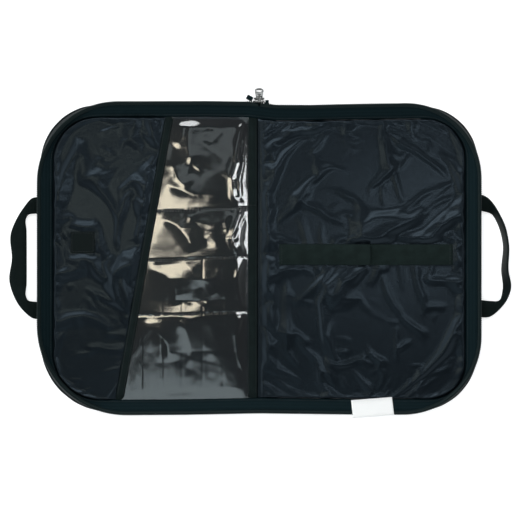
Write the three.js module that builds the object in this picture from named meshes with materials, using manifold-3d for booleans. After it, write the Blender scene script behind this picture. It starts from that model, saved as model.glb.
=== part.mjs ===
// Zip-round portfolio case for a drawing pad and brushes, opened flat on a table, inside up.
// Millimetres. +X runs from the spine towards the right half, +Y towards the zip slider, +Z up.
// The origin is the middle of the spine's underside, on the table.
import * as THREE from 'three';
import { mergeVertices } from 'three/addons/utils/BufferGeometryUtils.js';
import Module from 'manifold-3d';

const manifold = await Module();
manifold.setup();

// ---- Driving dimensions ----
const OPEN_LENGTH = 532.8; // coil edge to coil edge along X, both halves flat
const OPEN_WIDTH = 376; // coil edge to coil edge along Y
const CORNER_RADIUS = 84; // of the coil's outer edge
const SPINE_WIDTH = 29.4; // between the two fold lines
const FOLD_HEIGHT = 4.5; // of both fold lines above the table
const ZIP_WIDTH = 18.6; // plan width of the zip band, coil and tape
const COIL_WIDTH = 3.6;
const COVER_EDGE = { length: 262, width: 183, radius: 66 }; // half sizes of the outer covers
const WEBBING = 20.4; // width of the handles' webbing
const STRAP_WIDTH = 25;
const GAP = 0.3; // between touching pieces
const FOLD_GAP = 0.4; // each side of a fold line
const ARC_STEPS = 9;

// Layers, lowest and highest, from the table up
const COVER = [0, 1.2];
const BOARD = [1.5, 3.0];
const FOAM = [3.3, 5.7];
const LINING = [6.0, 6.5];
const POCKET = [6.8, 7.4];
const TRIM = [7.7, 8.7];
const BOARD_SETBACK = 6; // of the boards and foam from the fold lines

const HALF_SPINE = SPINE_WIDTH / 2;
const ZIP_EDGE = { length: OPEN_LENGTH / 2, width: OPEN_WIDTH / 2, radius: CORNER_RADIUS };
const SEAM_X = ZIP_EDGE.length - ZIP_WIDTH;
const SEAM_Y = ZIP_EDGE.width - ZIP_WIDTH;
const SEAM_RADIUS = CORNER_RADIUS - ZIP_WIDTH;

// Sections of what runs round the rim, as [inset from the outer edge, height]
const TAPE_INNER = ZIP_WIDTH - GAP;
const TAPE_OUTER = COIL_WIDTH + GAP;
const TAPE_SECTION = [[TAPE_INNER, 5.3], [TAPE_INNER, 6.3], [TAPE_OUTER, 13.3], [TAPE_OUTER, 12.3]];
const COIL_SECTION = [[0, 13.6], [0, 15.2], [1.2, 16.2], [2.6, 16.2], [COIL_WIDTH, 15.2],
  [COIL_WIDTH, 13.6], [2.6, 12.6], [1.2, 12.6]];
const PIPING_RADIUS = 1.2;
const PIPING_HEIGHT = 1.4;
// The side wall stands on the cover's edge and leans to the tape just inside the coil, so its
// corners carry the edge that each one follows; the handles' sewn ends pass under it
const GUSSET_SECTION = [[0, 5.1, COVER_EDGE], [1, 5.1, COVER_EDGE], [5.4, 11.3], [4.4, 11.3]];
const COIL_TOP_SETBACK = 39; // the coils leave the rim here to bend into the slider

// ---- Materials ----
const finish = (color, roughness, metalness = 0) =>
  new THREE.MeshStandardMaterial({ color, roughness, metalness });
const NYLON = finish(0x14181a, 0.55);
const LINING_NYLON = finish(0x23292e, 0.42);
const TAPE = finish(0x10191a, 0.8);
const COIL = finish(0x101718, 0.4);
const CLOTH_WEBBING = finish(0x0f1515, 0.75);
const FOAM_GREY = finish(0x55585a, 0.95);
const GREY_BOARD = finish(0x7a766e, 0.9);
const CLEAR_VINYL = finish(0x9aa3a6, 0.12);
const HOOK_AND_LOOP = finish(0x171d1e, 0.95);
const LABEL_CLOTH = finish(0xf6f5f2, 0.8);
const CAST_ZINC = finish(0x8d9393, 0.3, 0.9);

const part = new THREE.Group();

function addNode(name, geometry, material, parent = part) {
  const mesh = new THREE.Mesh(geometry, material);
  mesh.name = name;
  parent.add(mesh);
  return mesh;
}

// ---- Shape helpers ----
const arcAngles = (from, to, steps = ARC_STEPS) =>
  Array.from({ length: steps + 1 }, (_, i) => from + ((to - from) * i) / steps);

// A flat piece: an outline pushed up from one height to another
function slab(points, [low, high]) {
  const outline = new THREE.Shape(points.map(([x, y]) => new THREE.Vector2(x, y)));
  const geometry = new THREE.ExtrudeGeometry(outline, { depth: high - low, bevelEnabled: false });
  return geometry.translate(0, 0, low);
}

// A closed solid through a list of rings, each a convex loop of the same number of points
function loft(rings) {
  const size = rings[0].length;
  const positions = rings.flat().flatMap((p) => [p.x, p.y, p.z]);
  const faces = [];
  for (let ring = 0; ring < rings.length - 1; ring += 1) {
    for (let k = 0; k < size; k += 1) {
      const a = ring * size + k;
      const b = ring * size + ((k + 1) % size);
      faces.push(a, b, b + size, a, b + size, a + size);
    }
  }
  const last = (rings.length - 1) * size;
  for (let k = 1; k < size - 1; k += 1) {
    faces.push(0, k + 1, k, last, last + k, last + k + 1);
  }
  const geometry = new THREE.BufferGeometry();
  geometry.setAttribute('position', new THREE.Float32BufferAttribute(positions, 3));
  geometry.setIndex(signedVolume(positions, faces) < 0 ? faces.reverse() : faces);
  geometry.computeVertexNormals();
  return geometry;
}

function signedVolume(positions, faces) {
  const corner = (i) => new THREE.Vector3().fromArray(positions, 3 * faces[i]);
  let total = 0;
  for (let i = 0; i < faces.length; i += 3) {
    total += corner(i).dot(corner(i + 1).cross(corner(i + 2)));
  }
  return total;
}

function toSolid(geometry) {
  const bare = geometry.clone();
  bare.deleteAttribute('normal');
  bare.deleteAttribute('uv');
  const merged = mergeVertices(bare, 1e-4);
  return new manifold.Manifold(new manifold.Mesh({
    numProp: 3,
    vertProperties: new Float32Array(merged.attributes.position.array),
    triVerts: new Uint32Array(merged.index.array),
  }));
}

function fromSolid(solid) {
  const mesh = solid.getMesh();
  const geometry = new THREE.BufferGeometry();
  geometry.setAttribute('position', new THREE.BufferAttribute(mesh.vertProperties, 3));
  geometry.setIndex(new THREE.BufferAttribute(mesh.triVerts, 1));
  geometry.computeVertexNormals();
  return geometry;
}

// How far from the spine's middle a half's piece ends at a height, so that nothing above the
// fold line meets the spine when the half folds over it: both sides are cut back at 45 degrees
const foldEnd = (z) => HALF_SPINE + Math.max(0, z - FOLD_HEIGHT) + FOLD_GAP;
const spineEnd = (z) => HALF_SPINE - Math.max(0, z - FOLD_HEIGHT) - FOLD_GAP;

// The outline of one half from its top fold end, round both outer corners, to the bottom one
function halfOutline(side, length, width, radius, end) {
  const centre = [length - radius, width - radius];
  const points = [[end, width]];
  for (const angle of arcAngles(Math.PI / 2, 0)) {
    points.push([centre[0] + radius * Math.cos(angle), centre[1] + radius * Math.sin(angle)]);
  }
  for (const angle of arcAngles(0, -Math.PI / 2)) {
    points.push([centre[0] + radius * Math.cos(angle), -centre[1] + radius * Math.sin(angle)]);
  }
  points.push([end, -width]);
  return points.map(([x, y]) => [side * x, y]);
}

// One half's layer, as a slab
function halfSlab(side, edge, layer, inset, end) {
  const outline = halfOutline(
    side, edge.length - inset, edge.width - inset, edge.radius - inset, end);
  return slab(outline, layer);
}

// What runs round a half's rim: a section of [inset, height] carried along the edge. A corner
// of the section may name another edge that it follows
function rimStrip(side, rimEdge, section, topEnd = foldEnd) {
  const lines = section.map(([inset, z, edge = rimEdge]) => {
    const outline = halfOutline(
      side, edge.length - inset, edge.width - inset, edge.radius - inset, foldEnd(z));
    outline[0][0] = side * topEnd(z);
    return outline.map(([x, y]) => new THREE.Vector3(x, y, z));
  });
  return loft(lines[0].map((_, station) => lines.map((line) => line[station])));
}

// The same section carried straight across the spine's top (+1) or bottom (-1) edge
function spineStrip(end, rimEdge, section) {
  const ring = (side) => section.map(([inset, z, edge = rimEdge]) =>
    new THREE.Vector3(side * spineEnd(z), end * (edge.width - inset), z));
  return loft([ring(-1), ring(1)]);
}

function roundSection(radius, inset, height, sides = 8) {
  return arcAngles(0, 2 * Math.PI, sides).slice(0, sides).map((angle) =>
    [inset + radius * Math.cos(angle), height + radius * Math.sin(angle)]);
}

// A flat strip of webbing along stations of { at, across }: across is its width direction
function ribbon(stations, width, thickness) {
  const rings = stations.map(({ at, across }, i) => {
    const before = stations[Math.max(0, i - 1)].at;
    const after = stations[Math.min(stations.length - 1, i + 1)].at;
    const wide = new THREE.Vector3(...across).normalize();
    const along = new THREE.Vector3(...after).sub(new THREE.Vector3(...before)).normalize();
    const thick = along.cross(wide).normalize().multiplyScalar(thickness / 2);
    wide.multiplyScalar(width / 2);
    return [[1, 1], [-1, 1], [-1, -1], [1, -1]].map(([a, b]) => new THREE.Vector3(...at)
      .addScaledVector(wide, a).addScaledVector(thick, b));
  });
  return loft(rings);
}

// ---- The two padded covers ----
function buildHalf(side, word) {
  const skinEnd = foldEnd(COVER[1]);
  const boardEnd = HALF_SPINE + BOARD_SETBACK;
  const piping = roundSection(PIPING_RADIUS, 0, PIPING_HEIGHT);
  const boardInset = 2 * GAP;
  const coilEnd = (z) => Math.max(foldEnd(z), COIL_TOP_SETBACK);
  const seamEdge = { length: SEAM_X, width: SEAM_Y, radius: SEAM_RADIUS };
  addNode(`${word}_cover`,
    halfSlab(side, COVER_EDGE, COVER, PIPING_RADIUS + GAP, skinEnd), NYLON);
  addNode(`${word}_piping`, rimStrip(side, COVER_EDGE, piping), NYLON);
  addNode(`${word}_board`, halfSlab(side, seamEdge, BOARD, boardInset, boardEnd), GREY_BOARD);
  addNode(`${word}_foam`, halfSlab(side, seamEdge, FOAM, boardInset, boardEnd), FOAM_GREY);
  addNode(`${word}_lining`, halfSlab(side, seamEdge, LINING, GAP, foldEnd(LINING[1])), LINING_NYLON);
  addNode(`${word}_gusset`, rimStrip(side, ZIP_EDGE, GUSSET_SECTION), NYLON);
  addNode(`${word}_zip_tape`, rimStrip(side, ZIP_EDGE, TAPE_SECTION), TAPE);
  addNode(`${word}_zip_coil`, rimStrip(side, ZIP_EDGE, COIL_SECTION, coilEnd), COIL);
}

// ---- The spine ----
const BINDING_WIDTH = 12; // tape that binds the clear pockets' edge at the spine

function buildSpine() {
  const skin = spineEnd(COVER[1]);
  const lining = spineEnd(LINING[1]);
  const rectangle = (x0, x1, y) => [[x0, -y], [x1, -y], [x1, y], [x0, y]];
  const coverWidth = COVER_EDGE.width - PIPING_RADIUS - GAP;
  const bindingLeft = -spineEnd(TRIM[0]);
  addNode('spine_cover', slab(rectangle(-skin, skin, coverWidth), COVER), NYLON);
  addNode('spine_lining', slab(rectangle(-lining, lining, SEAM_Y - GAP), LINING), LINING_NYLON);
  addNode('spine_binding', slab(
    rectangle(bindingLeft, bindingLeft + BINDING_WIDTH, SEAM_Y - GAP), [6.8, TRIM[0]]), TAPE);
  for (const [end, word] of [[1, 'top'], [-1, 'bottom']]) {
    const piping = roundSection(PIPING_RADIUS, 0, PIPING_HEIGHT);
    addNode(`spine_piping_${word}`, spineStrip(end, COVER_EDGE, piping), NYLON);
    addNode(`spine_gusset_${word}`, spineStrip(end, ZIP_EDGE, GUSSET_SECTION), NYLON);
    addNode(`spine_zip_tape_${word}`, spineStrip(end, ZIP_EDGE, TAPE_SECTION), TAPE);
  }
  addNode('spine_zip_coil_bottom', spineStrip(-1, ZIP_EDGE, COIL_SECTION), COIL);
}

// ---- Left half: slant pocket, its binding and patch, and four rows of clear pockets ----
const SLANT_TOP_X = -102.5; // right edge of the binding at the top seam
const SLANT_BOTTOM_X = -163; // and at the bottom seam
const SLANT_BINDING = 10.5; // binding width, measured along X
const ROW_EDGES = [ // [height at the slant, height at the spine] of the rows' stitched joins
  [SEAM_Y, SEAM_Y], [57.5, 61.2], [-2.2, 2.6], [-69, -63.5], [-SEAM_Y, -SEAM_Y]];
const PATCH = { x: -211.8, y: 19.3, width: 28.4, height: 25.4 };

// The slant line's X at a height, moved along X
const slantX = (y, move = 0) => {
  const share = (y + SEAM_Y) / (2 * SEAM_Y);
  return SLANT_BOTTOM_X + (SLANT_TOP_X - SLANT_BOTTOM_X) * share + move;
};

function buildPockets() {
  const top = SEAM_Y - 2 * GAP;
  const pocketRight = -SLANT_BINDING - GAP;
  const corners = halfOutline(-1, SEAM_X - 2 * GAP, top, SEAM_RADIUS - 2 * GAP, 0);
  corners[0] = [slantX(top, pocketRight), top];
  corners[corners.length - 1] = [slantX(-top, pocketRight), -top];
  addNode('slant_pocket', slab(corners, POCKET), LINING_NYLON);

  const bindingLeft = -SLANT_BINDING;
  addNode('slant_binding', slab([
    [slantX(-top, bindingLeft), -top], [slantX(-top), -top],
    [slantX(top), top], [slantX(top, bindingLeft), top]], [POCKET[0], TRIM[0]]), TAPE);

  const right = -foldEnd(POCKET[1]);
  for (let row = 0; row < ROW_EDGES.length - 1; row += 1) {
    const [upperLeft, upperRight] = ROW_EDGES[row].map((y) => Math.min(y, top) - GAP);
    const [lowerLeft, lowerRight] = ROW_EDGES[row + 1].map((y) => Math.max(y, -top) + GAP);
    addNode(`clear_pocket_${row + 1}`, slab([
      [slantX(lowerLeft, GAP), lowerLeft], [right, lowerRight],
      [right, upperRight], [slantX(upperLeft, GAP), upperLeft]], POCKET), CLEAR_VINYL);
  }

  const patch = new THREE.BoxGeometry(PATCH.width, PATCH.height, TRIM[1] - TRIM[0]);
  addNode('pocket_patch', patch, HOOK_AND_LOOP)
    .position.set(PATCH.x, PATCH.y, (TRIM[0] + TRIM[1]) / 2);
}

// ---- Right half: the pad strap in two parts, and the label ----
const STRAP_Y = 4.7;
const STRAP_START = 24.2; // sewn end of the upper part, by the spine
const STRAP_END = 232; // sewn end of the lower part, by the fore edge
const STRAP_SEAM = 4.5; // length of each sewn end
const UPPER_TIP = 133.7;
const LOWER_TIP = 119.5;
const STRAP_RISE = 10.4; // of the upper part's underside where it lies on the lower one
const STRAP_THICKNESS = 1.2;
const LABEL = { x: 134.8, y: -168.1, width: 49.2, turn: 0.077 };

// A straight strap along X through [x, underside height] points
function strap(points, width, thickness) {
  const rings = points.map(([x, z]) => [[-1, 0], [1, 0], [1, 1], [-1, 1]].map(([across, up]) =>
    new THREE.Vector3(x, STRAP_Y + (across * width) / 2, z + up * thickness)));
  return loft(rings);
}

function buildStrap() {
  const low = POCKET[0];
  const upperHinge = STRAP_START + STRAP_SEAM;
  const lowerHinge = STRAP_END - STRAP_SEAM;
  const patchWidth = STRAP_WIDTH - 3;
  const patchEnds = [LOWER_TIP + 0.6, UPPER_TIP - 0.6];
  const onLower = low + STRAP_THICKNESS + GAP;
  addNode('strap_upper_sewn_end', strap(
    [[STRAP_START, low], [upperHinge - GAP, low]], STRAP_WIDTH, STRAP_THICKNESS), CLOTH_WEBBING);
  addNode('strap_upper', strap([[upperHinge, low], [LOWER_TIP - 16, low],
    [LOWER_TIP - 2, STRAP_RISE], [UPPER_TIP, STRAP_RISE]],
  STRAP_WIDTH, STRAP_THICKNESS), CLOTH_WEBBING);
  addNode('strap_hook_patch', strap(patchEnds.map((x) => [x, STRAP_RISE - GAP - 0.8]),
    patchWidth, 0.8), HOOK_AND_LOOP);
  addNode('strap_loop_patch', strap(patchEnds.map((x) => [x, onLower]),
    patchWidth, 0.7), HOOK_AND_LOOP);
  addNode('strap_lower', strap([[LOWER_TIP, low], [lowerHinge, low]],
    STRAP_WIDTH, STRAP_THICKNESS), CLOTH_WEBBING);
  addNode('strap_lower_sewn_end', strap(
    [[lowerHinge + GAP, low], [STRAP_END, low]], STRAP_WIDTH, STRAP_THICKNESS), CLOTH_WEBBING);
}

// The label is sewn in at the seam and lies over the zip band: up the tape, then over the coil
function buildLabel() {
  const profile = [[0, 8.0], [-16.2, 16.7], [-19.5, 16.9]];
  const thickness = 0.5;
  const rings = profile.map(([y, z]) => [[-1, 0], [1, 0], [1, 1], [-1, 1]].map(([across, up]) =>
    new THREE.Vector3((across * LABEL.width) / 2, y, z + up * thickness)));
  const label = addNode('label', loft(rings), LABEL_CLOTH);
  label.position.set(LABEL.x, LABEL.y, 0);
  label.rotation.z = LABEL.turn;
}

// ---- Handles: a webbing loop on each fore edge, its ends sewn between cover and tape ----
const HANDLE_HINGE_X = 268.3;
const HANDLE_HINGE_Z = 3.8;
const WEBBING_THICKNESS = 2;
const TAB_INNER_X = 249;
const LEFT_LEGS = [64.2, -61.8]; // Y of the legs' middles
const RIGHT_LEGS = [66.6, -60];

function buildTabs(side, word, legs) {
  const outer = HANDLE_HINGE_X - WEBBING_THICKNESS / 2 - GAP; // lets the loop's end turn
  const half = WEBBING / 2;
  const layer = [HANDLE_HINGE_Z - WEBBING_THICKNESS / 2, HANDLE_HINGE_Z + WEBBING_THICKNESS / 2];
  legs.forEach((y, i) => {
    const outline = [[TAB_INNER_X, y - half], [outer, y - half], [outer, y + half],
      [TAB_INNER_X, y + half]].map(([x, along]) => [side * x, along]);
    addNode(`${word}_handle_sewn_end_${i === 0 ? 'upper' : 'lower'}`,
      slab(outline, layer), CLOTH_WEBBING);
  });
}

// Lies flat: two legs, mitred corners and a straight grip
function buildLeftHandle() {
  const [upper, lower] = LEFT_LEGS;
  const half = WEBBING / 2;
  const gripInner = 279.2;
  const gripOuter = gripInner + WEBBING;
  const outline = [
    [HANDLE_HINGE_X, upper + half], [gripInner, upper + half], [gripOuter, upper - half],
    [gripOuter, lower + half], [gripInner, lower - half], [HANDLE_HINGE_X, lower - half],
    [HANDLE_HINGE_X, lower + half], [gripInner, lower + half],
    [gripInner, upper - half], [HANDLE_HINGE_X, upper - half]];
  const restHeight = 0.2;
  const geometry = slab(outline.map(([x, y]) => [-x, y]),
    [restHeight, restHeight + WEBBING_THICKNESS]);
  const position = geometry.attributes.position;
  const lift = HANDLE_HINGE_Z - WEBBING_THICKNESS / 2 - restHeight;
  for (let i = 0; i < position.count; i += 1) {
    if (Math.abs(position.getX(i)) < HANDLE_HINGE_X + GAP) {
      position.setZ(i, position.getZ(i) + lift);
    }
  }
  addNode('left_handle', geometry, CLOTH_WEBBING);
}

// Stands on edge: the legs twist up until the grip's webbing is upright
function buildRightHandle() {
  const [upper, lower] = RIGHT_LEGS;
  const gripX = 294.5;
  const gripZ = 10.6;
  const leg = (y, turn) => [
    { at: [HANDLE_HINGE_X, y, HANDLE_HINGE_Z], across: [0, 1, 0] },
    { at: [277, y - 0.5 * turn, 4.6], across: [0, 1, 0.15 * turn] },
    { at: [286, y - 4 * turn, 7.4], across: [0.25 * turn, 1, 0.75 * turn] },
    { at: [292.5, y - 12 * turn, 9.8], across: [0.2 * turn, 0.5, 1.3 * turn] },
  ];
  const stations = [
    ...leg(upper, 1),
    { at: [gripX, upper - 26, gripZ], across: [0, 0.1, 1] },
    { at: [gripX - 0.6, 8, gripZ], across: [0, 0, 1] },
    { at: [gripX, lower + 26, gripZ], across: [0, -0.1, 1] },
    ...leg(lower, -1).reverse().map(({ at, across }) => ({ at, across: across.map((v) => -v) })),
  ];
  addNode('right_handle', ribbon(stations, WEBBING - 0.4, WEBBING_THICKNESS), CLOTH_WEBBING);
}

// ---- Zip slider at the spine's top edge, mouths up, and what it runs on ----
const SLIDER = { y: 189.2, low: 4.2, height: 15, depth: 5.2, mouthWidth: 12.6, exitWidth: 9 };
const CHAIN = { width: 4.4, depth: 3, top: 13.4 };
const PULL_HINGE = { y: 193.4, z: 15.6 };
const PULL_LENGTH = 18.6;
const PULL_DROOP = THREE.MathUtils.degToRad(52); // below level, tip near the table

// A solid standing on the XZ plane: outline of [x, z] carried from Y low to Y high
function uprightSlab(points, [low, high]) {
  return slab(points.map(([x, z]) => [x, z]), [0, high - low])
    .rotateX(Math.PI / 2).translate(0, high, 0);
}

function buildSlider() {
  const { y, low, height, depth, mouthWidth, exitWidth } = SLIDER;
  const high = low + height;
  const mouth = mouthWidth / 2;
  const exit = exitWidth / 2;
  const near = y - depth / 2;
  const far = y + depth / 2;
  const plate = 1.0;
  const neck = low + 0.45 * height;
  const shield = uprightSlab([[-exit, low], [exit, low], [exit + 0.3, neck], [mouth, high - 3],
    [mouth - 1, high], [1.8, high], [0, high - 0.8], [-1.8, high], [-mouth + 1, high],
    [-mouth, high - 3], [-exit - 0.3, neck]], [near, far]);
  const channelHalf = CHAIN.width / 2 + 0.5;
  const channelLayer = [near + plate, far - plate];
  const channel = uprightSlab([[-channelHalf, low - 1], [channelHalf, low - 1],
    [channelHalf, neck], [mouth - 1.1, high - 3], [mouth - 1.1, high + 1],
    [-mouth + 1.1, high + 1], [-mouth + 1.1, high - 3], [-channelHalf, neck]], channelLayer);
  const wedge = uprightSlab([[0, neck + 3.4], [1.6, high - 3], [1.6, high - 0.4], [-1.6, high - 0.4],
    [-1.6, high - 3]], [near + 0.4, far - 0.4]);
  const tapeSlot = new THREE.BoxGeometry(mouthWidth + 4, 1.4, height + 4)
    .translate(0, y, low + height / 2);
  const lug = uprightSlab([[-1.3, PULL_HINGE.z - 3], [1.3, PULL_HINGE.z - 3],
    [1.3, PULL_HINGE.z + 3], [-1.3, PULL_HINGE.z + 3]], [far - 0.4, far + 3.4]);
  const lugEye = new THREE.CylinderGeometry(1.5, 1.5, 6, 12).rotateZ(Math.PI / 2)
    .translate(0, PULL_HINGE.y, PULL_HINGE.z);
  const body = toSolid(shield).subtract(toSolid(channel)).subtract(toSolid(tapeSlot))
    .add(toSolid(wedge)).add(toSolid(lug)).subtract(toSolid(lugEye));
  addNode('slider_body', fromSolid(body), CAST_ZINC);
}

// The pull: a tapered tab with an oval hole at its wide end, and a fork whose bar passes the lug
function buildPull() {
  const thickness = 1.6;
  const [narrow, wide, forkHalf, forkDepth] = [3.9, 5.4, 2, 4.2];
  const barRadius = 0.9;
  const eyeY = PULL_LENGTH - wide;
  const outline = new THREE.Shape();
  outline.moveTo(-narrow, -barRadius);
  outline.lineTo(-forkHalf, -barRadius);
  outline.lineTo(-forkHalf, forkDepth);
  outline.lineTo(forkHalf, forkDepth);
  outline.lineTo(forkHalf, -barRadius);
  outline.lineTo(narrow, -barRadius);
  outline.lineTo(wide, eyeY);
  outline.absarc(0, eyeY, wide, 0.08, Math.PI - 0.08, false);
  outline.lineTo(-wide, eyeY);
  const eye = new THREE.Path();
  eye.absellipse(0, eyeY, 3.9, 3.6, 0, 2 * Math.PI, true, 0);
  outline.holes.push(eye);
  const tab = new THREE.ExtrudeGeometry(outline,
    { depth: thickness, bevelEnabled: false, curveSegments: 8 }).translate(0, 0, -thickness / 2);
  const bar = new THREE.CylinderGeometry(barRadius, barRadius, 2 * narrow - 1, 10)
    .rotateZ(Math.PI / 2);
  const pull = addNode('slider_pull', fromSolid(toSolid(tab).add(toSolid(bar))), CAST_ZINC);
  pull.position.set(0, PULL_HINGE.y, PULL_HINGE.z);
  pull.rotation.x = -PULL_DROOP;
}

// The joined chain under the slider, bent up from a tail sewn to the spine, and the two tape ends
function buildZipEnds() {
  const near = SLIDER.y - CHAIN.depth / 2;
  const far = SLIDER.y + CHAIN.depth / 2;
  const tail = 176;
  const profile = [[tail, 2.9], [far, 2.9], [far, CHAIN.top], [near, CHAIN.top], [near, 3.9],
    [tail, 3.9]];
  const chain = slab(profile, [-CHAIN.width / 2, CHAIN.width / 2])
    .applyMatrix4(new THREE.Matrix4().makeBasis(
      new THREE.Vector3(0, 1, 0), new THREE.Vector3(0, 0, 1), new THREE.Vector3(1, 0, 0)));
  addNode('zip_chain_end', chain, COIL);
  const leftEnd = addNode('zip_tape_end_left', new THREE.BoxGeometry(7.4, 5, 8), TAPE);
  leftEnd.position.set(-11.4, 192.2, 10);
  leftEnd.rotation.z = -0.5;
  addNode('zip_tape_end_right', new THREE.BoxGeometry(4.2, 4.6, 8), TAPE)
    .position.set(9.4, 187.2, 10);
}

for (const [side, word] of [[-1, 'left'], [1, 'right']]) {
  buildHalf(side, word);
}
buildSpine();
buildPockets();
buildStrap();
buildLabel();
buildTabs(-1, 'left', LEFT_LEGS);
buildTabs(1, 'right', RIGHT_LEGS);
buildLeftHandle();
buildRightHandle();
buildSlider();
buildPull();
buildZipEnds();

export default part;
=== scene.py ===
"""A soft portfolio case lying open: two padded halves, a zip round the rim, pockets and a strap.

The drawing is in millimetres, and make_mesh turns it into metres. The case lies in the XY plane
with its spine along Y at X = 0. Side -1 is the left half and side 1 is the right half. The zip
edge is the outline that everything else is set in from, so an inset is a distance inside it.
"""

import math

import bpy
import numpy as np
from mathutils import Matrix, Vector, noise


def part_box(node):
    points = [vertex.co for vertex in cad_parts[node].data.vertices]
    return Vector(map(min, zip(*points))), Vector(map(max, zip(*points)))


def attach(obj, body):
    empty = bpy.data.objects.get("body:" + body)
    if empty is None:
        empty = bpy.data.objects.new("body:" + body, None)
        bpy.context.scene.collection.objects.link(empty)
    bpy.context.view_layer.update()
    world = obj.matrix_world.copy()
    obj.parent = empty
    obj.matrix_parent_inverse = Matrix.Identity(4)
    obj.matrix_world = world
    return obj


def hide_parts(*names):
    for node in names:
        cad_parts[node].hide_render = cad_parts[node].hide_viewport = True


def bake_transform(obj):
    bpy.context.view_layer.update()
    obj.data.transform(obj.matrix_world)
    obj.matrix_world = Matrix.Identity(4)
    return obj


MM = 0.001

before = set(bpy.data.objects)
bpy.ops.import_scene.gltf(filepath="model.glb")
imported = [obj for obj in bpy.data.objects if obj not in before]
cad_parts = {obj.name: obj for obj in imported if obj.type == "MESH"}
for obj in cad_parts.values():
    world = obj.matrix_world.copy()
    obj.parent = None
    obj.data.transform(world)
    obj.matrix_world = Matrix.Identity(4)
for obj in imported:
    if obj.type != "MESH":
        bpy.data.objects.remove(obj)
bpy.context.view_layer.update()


def box_mm(node):
    """The lowest and highest corner of a CAD node, in millimetres."""
    low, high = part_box(node)
    return np.array(low) / MM, np.array(high) / MM


# ---------------------------------------------------------------- sizes taken from the frame

COIL_LOW, COIL_HIGH = box_mm("right_zip_coil")
LINING_HIGH = box_mm("right_lining")[1]
POCKET_HIGH = box_mm("slant_pocket")[1]
SPINE_BINDING = box_mm("spine_binding")
SLANT_BINDING = box_mm("slant_binding")
PATCH = box_mm("pocket_patch")
LABEL = box_mm("label")
STRAP_UPPER = box_mm("strap_upper")
STRAP_LOWER = box_mm("strap_lower")
STRAP_START = box_mm("strap_upper_sewn_end")[0][0]
STRAP_END = box_mm("strap_lower_sewn_end")[1][0]
STRAP_Y = round((STRAP_UPPER[0][1] + STRAP_UPPER[1][1]) / 2, 3)  # to the nearest micrometre
STRAP_FACE = STRAP_LOWER[1][2]

SEAM_X = LINING_HIGH[0] + 0.3
SEAM_Y = LINING_HIGH[1] + 0.3
COVER_X, COVER_Y = box_mm("right_gusset")[1][:2] - (0.0, 0.6)
LINING_TOP = LINING_HIGH[2]
POCKET_TOP = POCKET_HIGH[2]
COIL_BOTTOM, COIL_TOP = COIL_LOW[2], COIL_HIGH[2]

# ---------------------------------------------------------------- sizes of the soft parts

# An outline is its half width, its half height, and each half's upper and lower corner radius.
# The zip pulls across the corners, so it is rounder there than the cover and the lining's seam.
ZIP = (COIL_HIGH[0], -COIL_LOW[1], {-1: (97.0, 108.0), 1: (92.0, 95.0)})
COVER_EDGE = (COVER_X, COVER_Y, {-1: (69.0, 83.0), 1: (67.0, 73.0)})
SEAM = (SEAM_X, SEAM_Y, {-1: (52.0, 55.0), 1: (49.0, 42.0)})
DEPTH_AT_SEAM = 5.0
HEM = 1.3  # how far the cloths run on under the rim

# How far in Y the soft rim lies from the drawn outline at some X, along its top and bottom edges.
TOP_WANDER = ((-250, 0.4), (-60, 0.9), (-12, 0.2), (0, -1.4), (20, -3.6), (60, -3.8),
              (120, -2.4), (200, -1.3), (250, -0.9))
BOTTOM_WANDER = ((-250, -0.5), (-90, 0.4), (0, 2.2), (110, 0.8), (250, 0.3))


# ---------------------------------------------------------------- small geometry helpers


def smooth(t):
    """An S curve from 0 to 1."""
    t = np.clip(t, 0.0, 1.0)
    return t * t * (3 - 2 * t)


def wander(x, y, scale_x, scale_y, seed):
    """Smooth noise from -1 to 1 at each point, with its own size along X and Y."""
    flat = zip(np.ravel(x) / scale_x, np.ravel(y) / scale_y)
    values = [noise.noise(Vector((float(a), float(b), seed * 7.3))) for a, b in flat]
    return np.array(values).reshape(np.shape(x))


def settle(points):
    """Moves drawn points in Y by the wander of the case's top and bottom edges."""
    moved = np.array(points, float)
    x, y = moved[:, 0], moved[:, 1]
    near_edge = smooth((np.abs(y) - 105) / 75)
    top = np.interp(x, *zip(*TOP_WANDER))
    bottom = np.interp(x, *zip(*BOTTOM_WANDER))
    moved[:, 1] = y + near_edge * np.where(y > 0, top, bottom)
    return moved


def make_mesh(name, points, faces, material, cloth=None, settled=True):
    """A smooth-shaded mesh object from points in millimetres.

    cloth is each point's place on the cut cloth, and settled says whether it follows the rim's wander.
    """
    placed = settle(points) if settled else np.array(points, float)
    mesh = bpy.data.meshes.new(name)
    mesh.from_pydata((placed * MM).tolist(), [], faces)
    mesh.polygons.foreach_set("use_smooth", [True] * len(mesh.polygons))
    mesh.materials.append(material)
    laid = np.array(points if cloth is None else cloth, float) * MM
    where = mesh.attributes.new("cloth", "FLOAT_VECTOR", "POINT")
    where.data.foreach_set("vector", laid.astype(np.float32).ravel())
    mesh.update()
    piece = bpy.data.objects.new(name, mesh)
    bpy.context.scene.collection.objects.link(piece)
    return piece


def loft(name, rows, material, capped=True, settled=True):
    """A tube through rows of points, the last joined to the first, with its ends capped or open."""
    rows = [np.array(row, float) for row in rows]
    count, stations = len(rows), len(rows[0])
    points = np.concatenate(rows)
    faces = []
    for r in range(count):
        after = (r + 1) % count
        for s in range(stations - 1):
            faces.append((r * stations + s, r * stations + s + 1,
                          after * stations + s + 1, after * stations + s))
    if capped:
        faces.append([r * stations for r in range(count)])
        faces.append([r * stations + stations - 1 for r in reversed(range(count))])
    along = run_length(rows[0])
    across = run_length(np.array([row[stations // 2] for row in rows]))
    cloth = np.array([(along[s], across[r], 0) for r in range(count) for s in range(stations)])
    return make_mesh(name, points, faces, material, cloth, settled)


def stack(x, y, z):
    """Points from grids of X, Y and Z of the same shape."""
    return np.column_stack([x.ravel(), y.ravel(), z.ravel()])


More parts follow.
